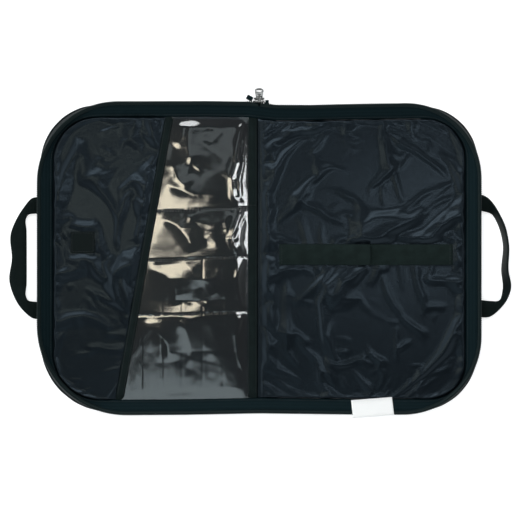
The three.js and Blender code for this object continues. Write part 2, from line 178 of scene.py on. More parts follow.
def grid_faces(rows, columns):
    """Faces of a rows by columns grid whose points run along the columns first."""
    return [(r * columns + c, r * columns + c + 1, (r + 1) * columns + c + 1, (r + 1) * columns + c)
            for r in range(rows - 1) for c in range(columns - 1)]


def slab_faces(rows, columns):
    """Faces of a closed slab: a lower grid, then an upper one over it, and the walls round both."""
    total = rows * columns
    upper = [tuple(total + i for i in face) for face in grid_faces(rows, columns)]
    lower = [face[::-1] for face in grid_faces(rows, columns)]
    ring = (list(range(columns)) + [r * columns + columns - 1 for r in range(1, rows)]
            + [total - 1 - c for c in range(1, columns)] + [r * columns for r in range(rows - 2, 0, -1)])
    walls = [(here, after, total + after, total + here) for here, after in zip(ring, ring[1:] + ring[:1])]
    return lower + upper + walls


def ringed_faces(rings, sides):
    """Faces of a closed solid made of rings of points, with an end face on its first and last ring."""
    faces = [(r * sides + k, r * sides + (k + 1) % sides, (r + 1) * sides + (k + 1) % sides,
              (r + 1) * sides + k) for r in range(rings - 1) for k in range(sides)]
    last = (rings - 1) * sides
    return faces + [list(range(sides))[::-1], [last + k for k in range(sides)]]


def half_name(side):
    return "left" if side < 0 else "right"


def join(name, pieces):
    """Several mesh objects made into one."""
    bpy.ops.object.select_all(action="DESELECT")
    for piece in pieces:
        piece.select_set(True)
    bpy.context.view_layer.objects.active = pieces[0]
    bpy.ops.object.join()
    pieces[0].name = name
    return pieces[0]


# ---------------------------------------------------------------- the outline of each half


def rim(side, outline, grow=0.0, first_x=0.0):
    """Points round a half's edge from the spine over the top to the bottom, and each one's way out."""
    half_x, half_y = outline[0] + grow, outline[1] + grow
    upper, lower = (radius + grow for radius in outline[2][side])
    quarter = math.pi / 2
    top_x = np.linspace(first_x, half_x - upper, 72)
    upper_turn = np.linspace(quarter, 0, 40)[1:]
    fall = np.linspace(half_y - upper, lower - half_y, 74)[1:]
    lower_turn = np.linspace(0, -quarter, 40)[1:]
    back_x = np.linspace(half_x - lower, 0, 72)[1:]
    parts = (
        (top_x, np.full(72, half_y), np.full(72, quarter)),
        (half_x - upper + upper * np.cos(upper_turn), half_y - upper + upper * np.sin(upper_turn),
         upper_turn),
        (np.full(73, half_x), fall, np.zeros(73)),
        (half_x - lower + lower * np.cos(lower_turn), lower - half_y + lower * np.sin(lower_turn),
         lower_turn),
        (back_x, np.full(71, -half_y), np.full(71, -quarter)),
    )
    x, y, angle = (np.concatenate(column) for column in zip(*parts))
    path = np.stack([side * x, y], axis=1)
    outward = np.stack([side * np.cos(angle), np.sin(angle)], axis=1)
    return path, outward


def set_in(path, outward, inset, z):
    """The path moved inward by inset, at height z. Either can differ from point to point."""
    inset = np.broadcast_to(inset, len(path))[:, None]
    flat = path - outward * inset
    return np.column_stack([flat, np.broadcast_to(z, len(path))])


def run_length(path):
    """How far along the path each of its points is."""
    steps = np.linalg.norm(np.diff(path, axis=0), axis=1)
    return np.concatenate([[0], np.cumsum(steps)])


def read_path(at, along, values):
    """Reads values, a pair for each point of a path, at one distance along the path."""
    return np.array([np.interp(at, along, values[:, 0]), np.interp(at, along, values[:, 1])])


def reach_at(side, outline, grow, y):
    """How far from X = 0 an outline is at height y, when grown by this much."""
    half_x, half_y = outline[0] + grow, outline[1] + grow
    upper, lower = outline[2][side]
    radius = np.where(np.asarray(y) > 0, upper, lower) + grow
    over = np.clip(np.abs(y) - (half_y - radius), 0, radius)
    return half_x - radius + np.sqrt(radius**2 - over**2)


def depth_inside(side, outline, x, y):
    """How far inside an outline each point is."""
    upper, lower = outline[2][side]
    radius = np.where(y > 0, upper, lower)
    from_x, from_y = outline[0] - np.abs(x), outline[1] - np.abs(y)
    corner = (from_x < radius) & (from_y < radius)
    round_depth = radius - np.hypot(radius - from_x, radius - from_y)
    return np.where(corner, round_depth, np.minimum(from_x, from_y))


# ---------------------------------------------------------------- folds in the cloth


def along_line(x, y, line):
    """How far each point is left of a line, less than 0 to its right, and its share of the way along."""
    line = np.array(line, float)
    lengths = np.linalg.norm(np.diff(line, axis=0), axis=1)
    total = lengths.sum()
    best = np.full(np.shape(x), 1e9)
    place = np.zeros(np.shape(x))
    before = 0.0
    for start, end, length in zip(line[:-1], line[1:], lengths):
        way = (end - start) / length
        t = np.clip((x - start[0]) * way[0] + (y - start[1]) * way[1], 0, length)
        gap = np.hypot(x - start[0] - t * way[0], y - start[1] - t * way[1])
        leftward = way[0] * (y - start[1]) - way[1] * (x - start[0])
        nearer = gap < np.abs(best)
        place = np.where(nearer, (before + t) / total, place)
        best = np.where(nearer, np.copysign(gap, leftward), best)
        before += length
    return best, place


def relief(x, y, folds, sharp=0.25, lean=1.7):
    """The height of all the folds at each point. A fold is (height, width, line), and fades at its ends.

    It falls away gently to the left of its line and steeply to the right: lean sets how unevenly.
    """
    height = np.zeros(np.shape(x))
    for tall, width, line in folds:
        gap, place = along_line(x, y, line)
        fade = smooth(np.minimum(place, 1 - place) * 4 + 0.15)
        reach = np.where(gap > 0, width * lean, width / lean)
        profile = np.exp(sharp - np.sqrt((gap / reach) ** 2 + sharp**2))
        height += tall * fade * profile
    return height


RIGHT_FOLDS = (
    (-1.5, 7, ((191, 147), (171, 110), (150, 88), (124, 76))),
    (2.3, 11, ((248, 112), (228, 88), (201, 76), (171, 59), (140, 47), (110, 19))),
    (1.9, 9.5, ((246, 76), (222, 68), (181, 47), (150, 41), (120, 23))),
    (1.3, 5.5, ((246, 72), (181, 21))),
    (1.2, 5.5, ((246, 59), (193, 19))),
    (1.1, 5.5, ((244, 41), (222, 19))),
    (-1.0, 5.5, ((240, 96), (205, 62), (176, 36), (160, 20))),
    (1.2, 5.5, ((105, 168), (103, 146))),
    (1.2, 5.5, ((148, 168), (146, 143))),
    (1.3, 5.5, ((69, 170), (77, 153))),
    (-1.7, 5.5, ((18, 166), (40, 163))),
    (1.2, 7, ((26, 158), (52, 157), (80, 150))),
    (1.6, 8, ((128, -10), (103, -26), (91, -53), (97, -63))),
    (2.0, 9.5, ((108, -10), (83, -30), (75, -53), (79, -116))),
    (-1.7, 12, ((92, -60), (92, -90), (97, -128))),
    (1.5, 8, ((91, -10), (63, -34), (38, -63))),
    (-1.3, 7, ((167, -59), (169, -124))),
    (1.1, 7, ((193, -39), (201, -59), (230, -59))),
    (1.1, 5.5, ((193, -22), (207, -28), (246, -30))),
    (-1.8, 7, ((171, -163), (201, -141), (232, -124), (248, -110))),
    (2.2, 9.5, ((181, -153), (222, -116), (230, -94), (234, -63))),
    (1.4, 8, ((120, -161), (154, -116))),
    (-1.3, 4.5, ((23, -14), (24, -145))),
    (1.1, 5.5, ((33, -20), (34, -130))),
    (-1.1, 4, ((11, 168), (12, 80))),
    (0.9, 4, ((18, 166), (19, 90))),
    (-1.5, 5.5, ((-5, 112), (14, 114), (22, 110))),
    (-1.3, 5.5, ((-5, 6), (24, 2))),
    (-1.4, 5.5, ((-5, -63), (18, -49))),
    (-1.4, 5.5, ((-5, -67), (18, -94))),
    (1.3, 9.5, ((40, 59), (59, 80), (83, 84), (120, 70))),
    (1.1, 8, ((63, 125), (69, 100), (38, 70))),
    (-1.2, 8, ((75, 55), (120, 61))),
    (-1.1, 7, ((18, 88), (24, 59), (20, 19))),
    (1.3, 11, ((160, 150), (190, 128), (215, 124))),
    (1.5, 13.5, ((60, -150), (105, -140), (140, -145))),
    (1.2, 11, ((150, -30), (170, -70), (200, -90))),
)

LEFT_FOLDS = (
    (2.6, 12, ((-118, 165), (-144, 141), (-173, 114), (-205, 92), (-218, 80))),
    (-1.6, 11, ((-112, 140), (-140, 118), (-168, 92), (-196, 74))),
    (1.8, 8, ((-212, 143), (-218, 125), (-234, 104), (-238, 80), (-234, 55))),
    (1.4, 7, ((-130, 59), (-156, 82))),
    (1.3, 7, ((-130, 59), (-144, 100))),
    (1.7, 8, ((-156, 80), (-169, 47), (-171, 19), (-165, 6))),
    (1.3, 7, ((-144, -2), (-165, 6))),
    (1.5, 8, ((-144, -2), (-169, -14), (-173, -53), (-165, -63))),
    (1.5, 8, ((-156, -69), (-173, -83), (-173, -124))),
    (-1.2, 8, ((-160, -70), (-188, -66), (-206, -44))),
    (-1.1, 7, ((-136, 121), (-124, 104))),
    (1.3, 8, ((-244, -14), (-226, -39))),
    (1.4, 8, ((-212, -59), (-205, -94), (-189, -155))),
    (-1.3, 9.5, ((-226, -60), (-222, -100), (-206, -150))),
    (1.5, 11, ((-240, -60), (-236, -100), (-220, -130))),
    (0.9, 4, ((-226, 39), (-204, 37), (-194, 30))),
    (0.8, 4, ((-196, 16), (-181, 1))),
    (1.0, 5.5, ((-232, 30), (-246, 20))),
    (1.3, 8, ((-140, 161), (-170, 158), (-196, 150))),
)


def cloth_swell(side, x, y, folds, seed, slack=1.0):
    """How far a slack lining stands above the board, and how far inside the seam each point is."""
    bent_x = x + 5 * wander(x, y, 50, 50, seed)
    bent_y = y + 5 * wander(x, y, 50, 50, seed + 1)
    height = 1.6 + slack * 1.1 * relief(bent_x, bent_y, folds, sharp=0.3)
    height += slack * 2.2 * wander(x, y, 50, 38, seed + 2)
    height += slack * 0.25 * wander(bent_x, bent_y, 16, 20, seed + 3)
    inside = depth_inside(side, SEAM, x, y)
    from_ends = SEAM_Y - np.abs(y)
    from_side = SEAM_X - np.abs(x)
    height += slack * 1.5 * wander(x, y, 9, 90, seed + 5) * np.exp(-np.abs(from_ends) / 14)
    height += slack * 1.4 * wander(x, y, 90, 9, seed + 6) * np.exp(-np.abs(from_side) / 14)
    return height, inside


def right_lining_height(x, y):
    """The right lining: sewn down at the rim and the spine's binding, low where the label folds in."""
    height, inside = cloth_swell(1, x, y, RIGHT_FOLDS, 3)
    from_spine = x - SPINE_BINDING[1][0] - 0.5
    under_strap = smooth((np.abs(y - STRAP_Y) - 12) / 8) + smooth((STRAP_START - x) / 6)
    under_strap = np.clip(under_strap + smooth((x - STRAP_END) / 6), 0, 1)
    label_x = (LABEL[0][0] + LABEL[1][0]) / 2
    past_label = np.hypot(np.maximum(np.abs(x - label_x) - 14, 0), np.maximum(y + SEAM_Y - 8, 0)) - 16
    height = height * (0.12 + 0.88 * smooth(past_label / 26)) * (0.2 + 0.8 * under_strap)
    height = np.minimum(height, 5.0)
    rise = smooth((inside + 1) / 4.5) * (0.2 + 0.8 * smooth((from_spine - 1) / 9))
    return DEPTH_AT_SEAM + rise * (LINING_TOP - DEPTH_AT_SEAM + height)


def left_pocket_height(x, y):
    """The slant pocket's cloth: sewn down under the rim and along its slanting binding."""
    height, inside = cloth_swell(-1, x, y, LEFT_FOLDS, 11, slack=0.2 + 0.8 * smooth((y + 100) / 100))
    from_slant = slant_left(y) - x + 1.5
    patch_x, patch_y = (PATCH[0][:2] + PATCH[1][:2]) / 2
    by_patch = smooth((np.maximum(np.abs(x - patch_x), np.abs(y - patch_y)) - 13) / 8)
    height = height * (0.35 + 0.65 * by_patch)
    rise = smooth((inside + 1) / 4.5) * (0.25 + 0.75 * smooth(from_slant / 10))
    return DEPTH_AT_SEAM + 0.4 + rise * (POCKET_TOP - DEPTH_AT_SEAM - 0.4 + height)


# ---------------------------------------------------------------- the slant and the pocket rows


def slant_right(y):
    """X of the slanting binding's right edge."""
    top, bottom = SLANT_BINDING[1][0], SLANT_BINDING[0][0] + 10.9
    return bottom + (top - bottom) * (y + LINING_HIGH[1]) / (2 * LINING_HIGH[1])


def slant_left(y):
    return slant_right(y) - 10.5


POCKET_RIGHT = SPINE_BINDING[0][0] + 0.8  # the clear pockets end under the spine's binding
ROW_JOINS = ((SEAM_Y, SEAM_Y), (57.5, 61.2), (-2.2, 2.6), (-69.0, -63.5), (-SEAM_Y, -SEAM_Y))

# Crisp upright ridges in the clear film near the spine, for each row from the top.
FILM_STREAKS = (
    (
        (0.9, 1.8, ((-16, 172), (-23, 153), (-27, 134), (-27.5, 115), (-33, 96), (-31, 75), (-23, 62))),
        (0.6, 1.4, ((-16, 160), (-19, 134), (-19.5, 113), (-24, 93), (-22, 75), (-17, 64))),
    ),
    (
        (0.9, 1.9, ((-18, 64), (-27, 44), (-33, 24), (-25, 2))),
        (0.5, 1.3, ((-16, 52), (-21, 36), (-24, 20), (-18, 4))),
    ),
    ((0.45, 1.6, ((-20, 2), (-27, -22), (-25, -44), (-18, -66))),),
    ((0.4, 1.6, ((-20, -62), (-28, -92), (-25, -116), (-20, -136))),),
)

# Softer folds in the clear film, for each row from the top.
FILM_FOLDS = (
    (
        (2.2, 8, ((-79, 168), (-83, 150), (-84, 136), (-80, 112))),
        (1.5, 6, ((-66, 150), (-60, 138), (-48, 150), (-38, 158))),
        (-1.3, 5, ((-58, 156), (-56, 140), (-62, 132))),
        (1.3, 5, ((-36, 146), (-36, 128), (-40, 108), (-42, 96))),
        (2.0, 7, ((-112, 92), (-96, 84), (-78, 76), (-52, 76), (-38, 84))),
        (1.5, 5, ((-106, 120), (-98, 98), (-84, 84))),
        (-1.2, 6, ((-86, 104), (-70, 98), (-62, 106), (-70, 114))),
        (1.0, 4, ((-100, 134), (-92, 148), (-90, 164))),
    ),
    (
        (1.4, 4, ((-34, 56), (-40, 42), (-38, 28))),
        (2.0, 8, ((-118, 48), (-98, 40), (-84, 24), (-76, 8))),
        (1.6, 6, ((-90, 56), (-74, 44), (-60, 38), (-46, 44))),
        (1.4, 6, ((-66, 30), (-54, 20), (-46, 8))),
        (-1.3, 5, ((-80, 50), (-66, 30), (-62, 12))),
    ),
    (
        (2.0, 8, ((-132, -12), (-112, -20), (-100, -36), (-96, -56))),
        (1.5, 6, ((-88, -6), (-76, -22), (-60, -28), (-44, -22))),
        (1.6, 6, ((-66, -60), (-58, -44), (-46, -36))),
        (-1.2, 5, ((-84, -58), (-76, -40), (-64, -34))),
        (1.2, 4, ((-50, -6), (-46, -24), (-40, -52))),
    ),
    (
        (2.0, 8, ((-142, -78), (-124, -88), (-110, -104), (-108, -124))),
        (1.6, 6, ((-96, -72), (-84, -92), (-80, -118), (-88, -132))),
        (1.5, 6, ((-60, -70), (-54, -96), (-60, -124))),
    ),
)


FILM_BASE = 7.0
FILM_AT_RIM = 6.7
# How high the film stands at its middle, and how much of its width it takes to rise, against Y.
FILM_Y = (-172, -112, -70, -51, -25, 35, 60, 100, 130, 172)
FILM_RISE = (0.8, 0.9, 2.1, 1.3, 2.6, 2.6, 1.6, 1.8, 1.2, 0.6)
FILM_SPAN = (0.4, 0.4, 0.4, 0.42, 0.42, 0.42, 0.35, 0.3, 0.3, 0.3)
SLOT_PITCH = 24.5  # between the shallow upright dents of the lower two rows
SLOT_LINES = [-43.4 - SLOT_PITCH * number for number in range(5)]


def film_height(row, u, v, x, y):
    """How far the clear film stands above its sewn edges, with folds, waves and dents at stitches."""
    bent_x = x + 2.5 * wander(x, y, 28, 28, 31)
    bent_y = y + 2.5 * wander(x, y, 28, 28, 41)
    rise = np.interp(y + 4 * wander(x, y, 26, 60, 71), FILM_Y, FILM_RISE)
    profile = smooth(u / np.interp(y, FILM_Y, FILM_SPAN)) - 0.3 * smooth((u - 0.45) / 0.55)
    height = rise * profile * smooth((1 - u) / 0.12)
    height += 0.30 * wander(x, y, 34, 38, 51) * smooth(u / 0.1)
    inside_row = smooth(v / 0.1) * smooth((1 - v) / 0.1) * smooth(u / 0.05) * smooth((1 - u) / 0.03)
    folds = relief(bent_x, bent_y, FILM_FOLDS[row], sharp=0.5, lean=1.3)
    calm = 0.40 - 0.22 * smooth((u - 0.3) / 0.25)
    streaks = relief(x, y, FILM_STREAKS[row], sharp=2.0, lean=1.0)
    height += inside_row * (streaks + calm * folds + 0.04 * wander(bent_x, bent_y, 8, 10, 61 + row))
    if row > 1:
        for line in SLOT_LINES:
            height -= 0.06 * np.exp(-(((x - line) / 1.1) ** 2))
    span = np.abs(y[-1] - y[0])[None, :]
    from_join = np.minimum(v, 1 - v) * span
    pucker = 1 + 0.9 * wander(x, y, 3.2, 60, 81 + row)
    return height - 0.16 * pucker * np.exp(-((from_join / 1.3) ** 2))


# ---------------------------------------------------------------- materials


def new_material(name, colour, roughness, specular=0.5, tint=(1, 1, 1)):
    """A plain principled material. tint is the colour of its shine."""
    material = bpy.data.materials.new(name)
    material.use_nodes = True
    shader = material.node_tree.nodes["Principled BSDF"]
    shader.inputs["Base Color"].default_value = (*colour, 1)
    shader.inputs["Roughness"].default_value = roughness
    shader.inputs["Specular IOR Level"].default_value = specular
    shader.inputs["Specular Tint"].default_value = (*tint, 1)
    return material


def link(material, start, start_socket, end, end_socket):
    material.node_tree.links.new(start.outputs[start_socket], end.inputs[end_socket])


def add(material, kind, **values):
    """A new node with the given input values."""
    node = material.node_tree.nodes.new(kind)
    for key, value in values.items():
        node.inputs[key.replace("_", " ")].default_value = value
    return node


def cloth_place(material):
    """The node that gives each point's place on the cut cloth, in metres."""
    node = material.node_tree.nodes.new("ShaderNodeAttribute")
    node.attribute_name = "cloth"
    return node


def shader_of(material):
    return material.node_tree.nodes["Principled BSDF"]


def stripes(material, pitch, axis, distortion):
    """Waves along one axis of the cloth, this far apart in metres."""
    node = add(material, "ShaderNodeTexWave", Scale=1 / pitch / 3.14159, Distortion=distortion)
    node.bands_direction = axis
    link(material, cloth_place(material), "Vector", node, "Vector")
    return node


def raise_by(material, node, socket, strength, depth):
    """Bumps the surface by a node's value."""
    bump = add(material, "ShaderNodeBump", Strength=strength, Distance=depth)
    link(material, node, socket, bump, "Height")
    link(material, bump, "Normal", shader_of(material), "Normal")


def colour_by(material, node, dark, light, positions=(0.0, 1.0)):
    """Colours the surface from dark to light by a node's value."""
    ramp = material.node_tree.nodes.new("ShaderNodeValToRGB")
    for stop, position, colour in zip(ramp.color_ramp.elements, positions, (dark, light)):
        stop.position = position
        stop.color = (*colour, 1)
    link(material, node, "Fac", ramp, "Fac")
    link(material, ramp, "Color", shader_of(material), "Base Color")


def weave(material, pitch, strength, depth=0.00006):
    """Bump from warp and weft threads, this far apart in metres."""
    both = material.node_tree.nodes.new("ShaderNodeMath")
    both.operation = "MULTIPLY"
    for number, axis in enumerate(("X", "Y")):
        link(material, stripes(material, pitch, axis, 0.6), "Fac", both, number)
    raise_by(material, both, "Value", strength, depth)


def mottle(material, dark, light, size):
    """Slow variation of the colour, size in metres."""
    cloud = add(material, "ShaderNodeTexNoise", Scale=1 / size, Detail=4.0)
    link(material, cloth_place(material), "Vector", cloud, "Vector")
    colour_by(material, cloud, dark, light, (0.35, 0.68))


def lining_nylon():
    material = new_material("lining_nylon", (0.004, 0.006, 0.008), 0.26, 0.30, (0.62, 0.82, 1.0))
    mottle(material, (0.0030, 0.0045, 0.0060), (0.0046, 0.0068, 0.0090), 0.06)
    weave(material, 0.00032, 0.12)
    return material


def cover_nylon():
    material = new_material("cover_nylon", (0.004, 0.007, 0.008), 0.4, 0.14, (0.75, 0.95, 1.0))
    mottle(material, (0.0026, 0.0046, 0.0052), (0.0044, 0.0072, 0.0080), 0.05)
    weave(material, 0.0009, 0.7, 0.00015)
    return material


def tape_cloth():
    """The zip's woven tape, with faint stripes along it."""
    material = new_material("zip_tape", (0.004, 0.008, 0.009), 0.5, 0.12, (0.45, 0.85, 1.0))
    along_tape = stripes(material, 0.0042, "Y", 0.0)
    colour_by(material, along_tape, (0.0014, 0.0040, 0.0047), (0.0032, 0.0070, 0.0084))
    weave(material, 0.0007, 0.5, 0.00012)
    return material


def ribbed_cloth(name, colour, rib, roughness, strength=0.6):
    """Grosgrain or webbing, whose ribs run across it."""
    material = new_material(name, colour, roughness, 0.12, (0.7, 1.0, 0.97))
    raise_by(material, stripes(material, rib, "X", 0.4), "Fac", strength, 0.0002)
    mottle(material, [0.75 * c for c in colour], [1.25 * c for c in colour], 0.012)
    return material


def hook_and_loop():
    material = new_material("hook_and_loop", (0.0062, 0.0095, 0.0095), 0.85, 0.08)
    loops = add(material, "ShaderNodeTexVoronoi", Scale=1400.0)
    link(material, cloth_place(material), "Vector", loops, "Vector")
    raise_by(material, loops, "Distance", 0.8, 0.0004)
    return material


def clear_vinyl():
    """Clear film: it shows what lies under it and mirrors the room, a little softly."""
    material = bpy.data.materials.new("clear_vinyl")
    material.use_nodes = True
    nodes = material.node_tree.nodes
    nodes.remove(nodes["Principled BSDF"])
    through = add(material, "ShaderNodeBsdfTransparent", Color=(0.93, 0.94, 0.94, 1))
    mirror = add(material, "ShaderNodeBsdfGlossy", Color=(1, 1, 1, 1), Roughness=0.085)
    facing = add(material, "ShaderNodeFresnel", IOR=2.3)
    mix = nodes.new("ShaderNodeMixShader")
    link(material, facing, "Fac", mix, 0)
    link(material, through, "BSDF", mix, 1)
    link(material, mirror, "BSDF", mix, 2)
    link(material, mix, "Shader", nodes["Material Output"], "Surface")
    return material


def metal():
    material = new_material("cast_zinc", (0.2, 0.205, 0.205), 0.36)
    shader_of(material).inputs["Metallic"].default_value = 1.0
    cloud = add(material, "ShaderNodeTexNoise", Scale=900.0, Detail=3.0)
    link(material, cloth_place(material), "Vector", cloud, "Vector")
    raise_by(material, cloud, "Fac", 0.15, 0.0002)
    mottle(material, (0.10, 0.105, 0.105), (0.34, 0.345, 0.34), 0.003)
    return material


def white_satin():
    material = new_material("label_cloth", (1.0, 0.985, 0.97), 0.5, 0.4)
    weave(material, 0.0004, 0.2)
    return material


LINING = lining_nylon()
COVER = cover_nylon()
TAPE = tape_cloth()
BINDING = ribbed_cloth("binding", (0.0046, 0.0074, 0.0076), 0.0009, 0.66)
WEBBING = ribbed_cloth("webbing", (0.0020, 0.0036, 0.0035), 0.0016, 0.6, 0.8)
STRAP = ribbed_cloth("strap", (0.0066, 0.0110, 0.0102), 0.0012, 0.62)
HOOKS = hook_and_loop()
FILM = clear_vinyl()
ZINC = metal()
SATIN = white_satin()
COIL = new_material("zip_coil", (0.0035, 0.0075, 0.0080), 0.36, 0.16, (0.8, 1.0, 1.0))
THREAD = new_material("thread", (0.012, 0.016, 0.018), 0.55, 0.4)
# Pale grey thread for the pocket joins: the stitches are real, but their pale colour is a painted glint
# standing in for light sparkling on them.
PAINTED_GLINT_THREAD = new_material("thread_with_painted_glint", (0.16, 0.17, 0.17), 0.5, 0.5)
BOARD = new_material("board", (0.05, 0.05, 0.05), 0.7)
FOAM = new_material("foam", (0.06, 0.06, 0.065), 0.9)
FRAME_MATERIALS = {
    "board": BOARD,
    "foam": FOAM,
    "cover_nylon": COVER,
    "zip_coil": COIL,
    "zip_tape": TAPE,
    "hook_and_loop": HOOKS,
    "webbing": WEBBING,
    "lining_nylon": LINING,
}

# ---------------------------------------------------------------- stitches


def bead(ends, radius, sides=6):
    """Points and faces of one short stitch between two ends, a stretched bead."""
    start, end = (np.array(p, float) for p in ends)
    way = end - start
    length = np.linalg.norm(way)
    way = way / length
    across = np.cross(way, (0, 0, 1))
    across = across / np.linalg.norm(across)
    up = np.cross(across, way)
    rings = ((0.0, 0.35), (0.2, 0.9), (0.5, 1.0), (0.8, 0.9), (1.0, 0.35))
    points = []
    for t, fat in rings:
        for k in range(sides):
            turn = 2 * math.pi * k / sides
            points.append(start + way * length * t
                          + radius * fat * (across * math.cos(turn) + up * math.sin(turn)))
    return points, ringed_faces(len(rings), sides)


def many(name, parts, material, settled=True):
    """One mesh from many (points, faces) parts."""
    points, faces = [], []
    for part_points, part_faces in parts:
        first = len(points)
        points.extend(part_points)
        faces.extend([[first + i for i in face] for face in part_faces])
    return make_mesh(name, points, faces, material, settled=settled)


def stitches(name, lines, height, material, length=2.6, gap=1.0, radius=0.28):
    """Rows of stitches along flat lines. height gives the surface at x, y."""
    parts = []
    for line in lines:
        line = np.array(line, float)
        places = run_length(line)
        count = max(int(places[-1] / (length + gap)), 1)
        step = places[-1] / count
        for i in range(count):
            ends = []
            for at in (i * step + gap / 2, (i + 1) * step - gap / 2):
                x, y = read_path(at, places, line).tolist()
                ends.append((x, y, height(x, y)))
            parts.append(bead(ends, radius))
    return many(name, parts, material)


def surface(function):
    """A height function of arrays, for one point."""
    return lambda x, y: float(function(np.array([x]), np.array([y]))[0])


# ---------------------------------------------------------------- the rim


def spine_blend(piece):
    """Bakes a rim piece's placement into its mesh."""
    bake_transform(piece)


def between(first, last, share, z):
    """Points part of the way from one path to another, at height z."""
    share = np.broadcast_to(share, len(first))[:, None]
    return np.column_stack([first * (1 - share) + last * share, np.broadcast_to(z, len(first))])


def make_zip_tape(side):
    """The band from the coil down to the lining's seam, puckered a little where it is sewn."""
    outer = rim(side, ZIP)[0]
    seam = rim(side, SEAM)[0]
    pucker = wander(seam[:, 0], seam[:, 1], 9, 9, 5)
    slow = wander(seam[:, 0], seam[:, 1], 45, 45, 8)
    top = ((0.19, 13.4), (0.33, 12.9), (0.48, 11.8), (0.64, 10.3), (0.8, 8.6), (0.92, 7.5), (0.99, 6.6),
           (1.015, 5.0))
    rows = []
    for number, (share, z) in enumerate(top):
        near_seam = number / (len(top) - 1)
        lift = (0.45 * pucker + 0.5 * slow) * math.sin(math.pi * near_seam * 0.8)
        rows.append(between(outer, seam, share + 0.02 * pucker * near_seam, z + lift))
    for share, z in ((0.98, 4.3), (0.64, 8.6), (0.19, 12.4)):
        rows.append(between(outer, seam, share, z))
    name = half_name(side)
    piece = loft(f"{name}_tape", rows, TAPE, capped=False)
    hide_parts(f"{name}_zip_tape", "spine_zip_tape_top", "spine_zip_tape_bottom")
    spine_blend(piece)

    sewn = stitches(f"{name}_tape_stitches", [outer * 0.12 + seam * 0.88], lambda x, y: 8.2, THREAD,
                    2.3, 1.0, 0.24)
    spine_blend(sewn)


def make_side_wall(side):
    """The wall between the cover's piping and the zip, and the piping itself."""
    name = half_name(side)
    low_path, low_out = rim(side, COVER_EDGE)
    high_path, high_out = rim(side, ZIP)
    sag = 0.5 * wander(run_length(low_path), np.zeros(len(low_path)), 26, 26, 15 + side)
    profile = ((0.0, 0.2, 2.2), (0.25, 0.5, 5.0), (0.5, 1.4, 7.6), (0.8, 3.4, 10.4), (1.0, 4.6, 12.3))
    rows = []
    for thickness, order in ((0.0, profile), (0.9, profile[::-1])):
        for mix, inset, z in order:
            low = set_in(low_path, low_out, inset + thickness + sag * mix, z - 0.4 * thickness)
            high = set_in(high_path, high_out, inset + thickness, z - 0.4 * thickness)
            rows.append(low * (1 - mix) + high * mix)
    wall = loft(f"{name}_wall", rows, COVER, capped=False)
    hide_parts(f"{name}_gusset", "spine_gusset_top", "spine_gusset_bottom")
    spine_blend(wall)

    ripple = 0.25 * wander(run_length(low_path), np.zeros(len(low_path)), 11, 11, 25 + side)
    turns = np.linspace(0, 2 * math.pi, 11)[:-1]
    rows = [set_in(low_path, low_out, -1.45 * math.cos(t) - ripple, 1.6 + 1.45 * math.sin(t))
            for t in turns]
    piping = loft(f"{name}_piped_edge", rows, COVER, capped=False)
    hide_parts(f"{name}_piping", "spine_piping_top", "spine_piping_bottom")
    spine_blend(piping)


def make_cover(side):
    """The padded outer panel of one half, which runs on under half of the spine."""
    name = half_name(side)
    rows, columns = 90, 70
    t = np.linspace(-1, 1, rows)
    y = (COVER_Y - 0.6) * (0.4 * t + 0.6 * np.sin(t * math.pi / 2))
    reach = reach_at(side, COVER_EDGE, -0.6, y)
    u = np.linspace(0, 1, columns)
    x = side * reach[:, None] * u[None, :]
    y = np.repeat(y[:, None], columns, axis=1)
    edge = np.minimum(np.minimum(1, (1 - u)[None, :] * 12), (1 - np.abs(t))[:, None] * 14)
    dimple = 0.35 * (1 + wander(x, y, 38, 38, 91 + side)) * smooth(edge)
    under = stack(x, y, 0.05 + dimple)
    over_top = stack(x, y, np.full(x.shape, 1.35))
    piece = make_mesh(f"{name}_cover_panel", np.concatenate([under, over_top]),
                      slab_faces(rows, columns), COVER)
    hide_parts(f"{name}_cover", "spine_cover")
    spine_blend(piece)


def tooth():
    """Points and faces of one coil tooth at the origin: X across the coil, Y along it."""
    rings, sides = 5, 8
    points = []
    for r in range(rings):
        lift = math.sin(math.pi * (0.12 + 0.76 * r / (rings - 1)))
        height = -math.cos(math.pi * (0.12 + 0.76 * r / (rings - 1)))
        for k in range(sides):
            turn = 2 * math.pi * k / sides
            points.append((1.9 * lift * math.cos(turn), 0.98 * lift * math.sin(turn), 1.75 * height))
    return np.array(points), ringed_faces(rings, sides)


def make_zip_coil(side):
    """The coil's loops, and the cord that they are sewn down on."""
    name = half_name(side)
    path, outward = rim(side, ZIP, first_x=1.2)
    along = run_length(path)
    shape, shape_faces = tooth()
    pitch = 2.45
    parts = []
    for at in np.arange(0.6, along[-1], pitch):
        centre, out = read_path(at, along, path), read_path(at, along, outward)
        out = out / np.linalg.norm(out)
        tangent = np.array([-out[1], out[0]])
        near_slider = 2.2 * max(0.0, 1 - abs(centre[0]) / 16) if centre[1] > 0 else 0.0
        middle = centre - out * (1.9 - near_slider)
        flat = middle + shape[:, :1] * out + shape[:, 1:2] * tangent
        heights = (COIL_BOTTOM + COIL_TOP) / 2 + shape[:, 2]
        parts.append((np.column_stack([flat, heights]), shape_faces))
    teeth = many(f"{name}_teeth", parts, COIL)
    rows = [set_in(path, outward, inset, z)
            for inset, z in ((0.9, 12.7), (0.9, 14.8), (2.4, 15.4), (5.2, 13.9), (5.2, 12.9), (2.4, 12.5))]
    cord = loft(f"{name}_coil_cord", rows, COIL, capped=False)
    piece = join(f"{name}_coil", [teeth, cord])
    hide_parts(f"{name}_zip_coil", "spine_zip_coil_bottom")
    spine_blend(piece)


# ---------------------------------------------------------------- linings, pockets and bindings

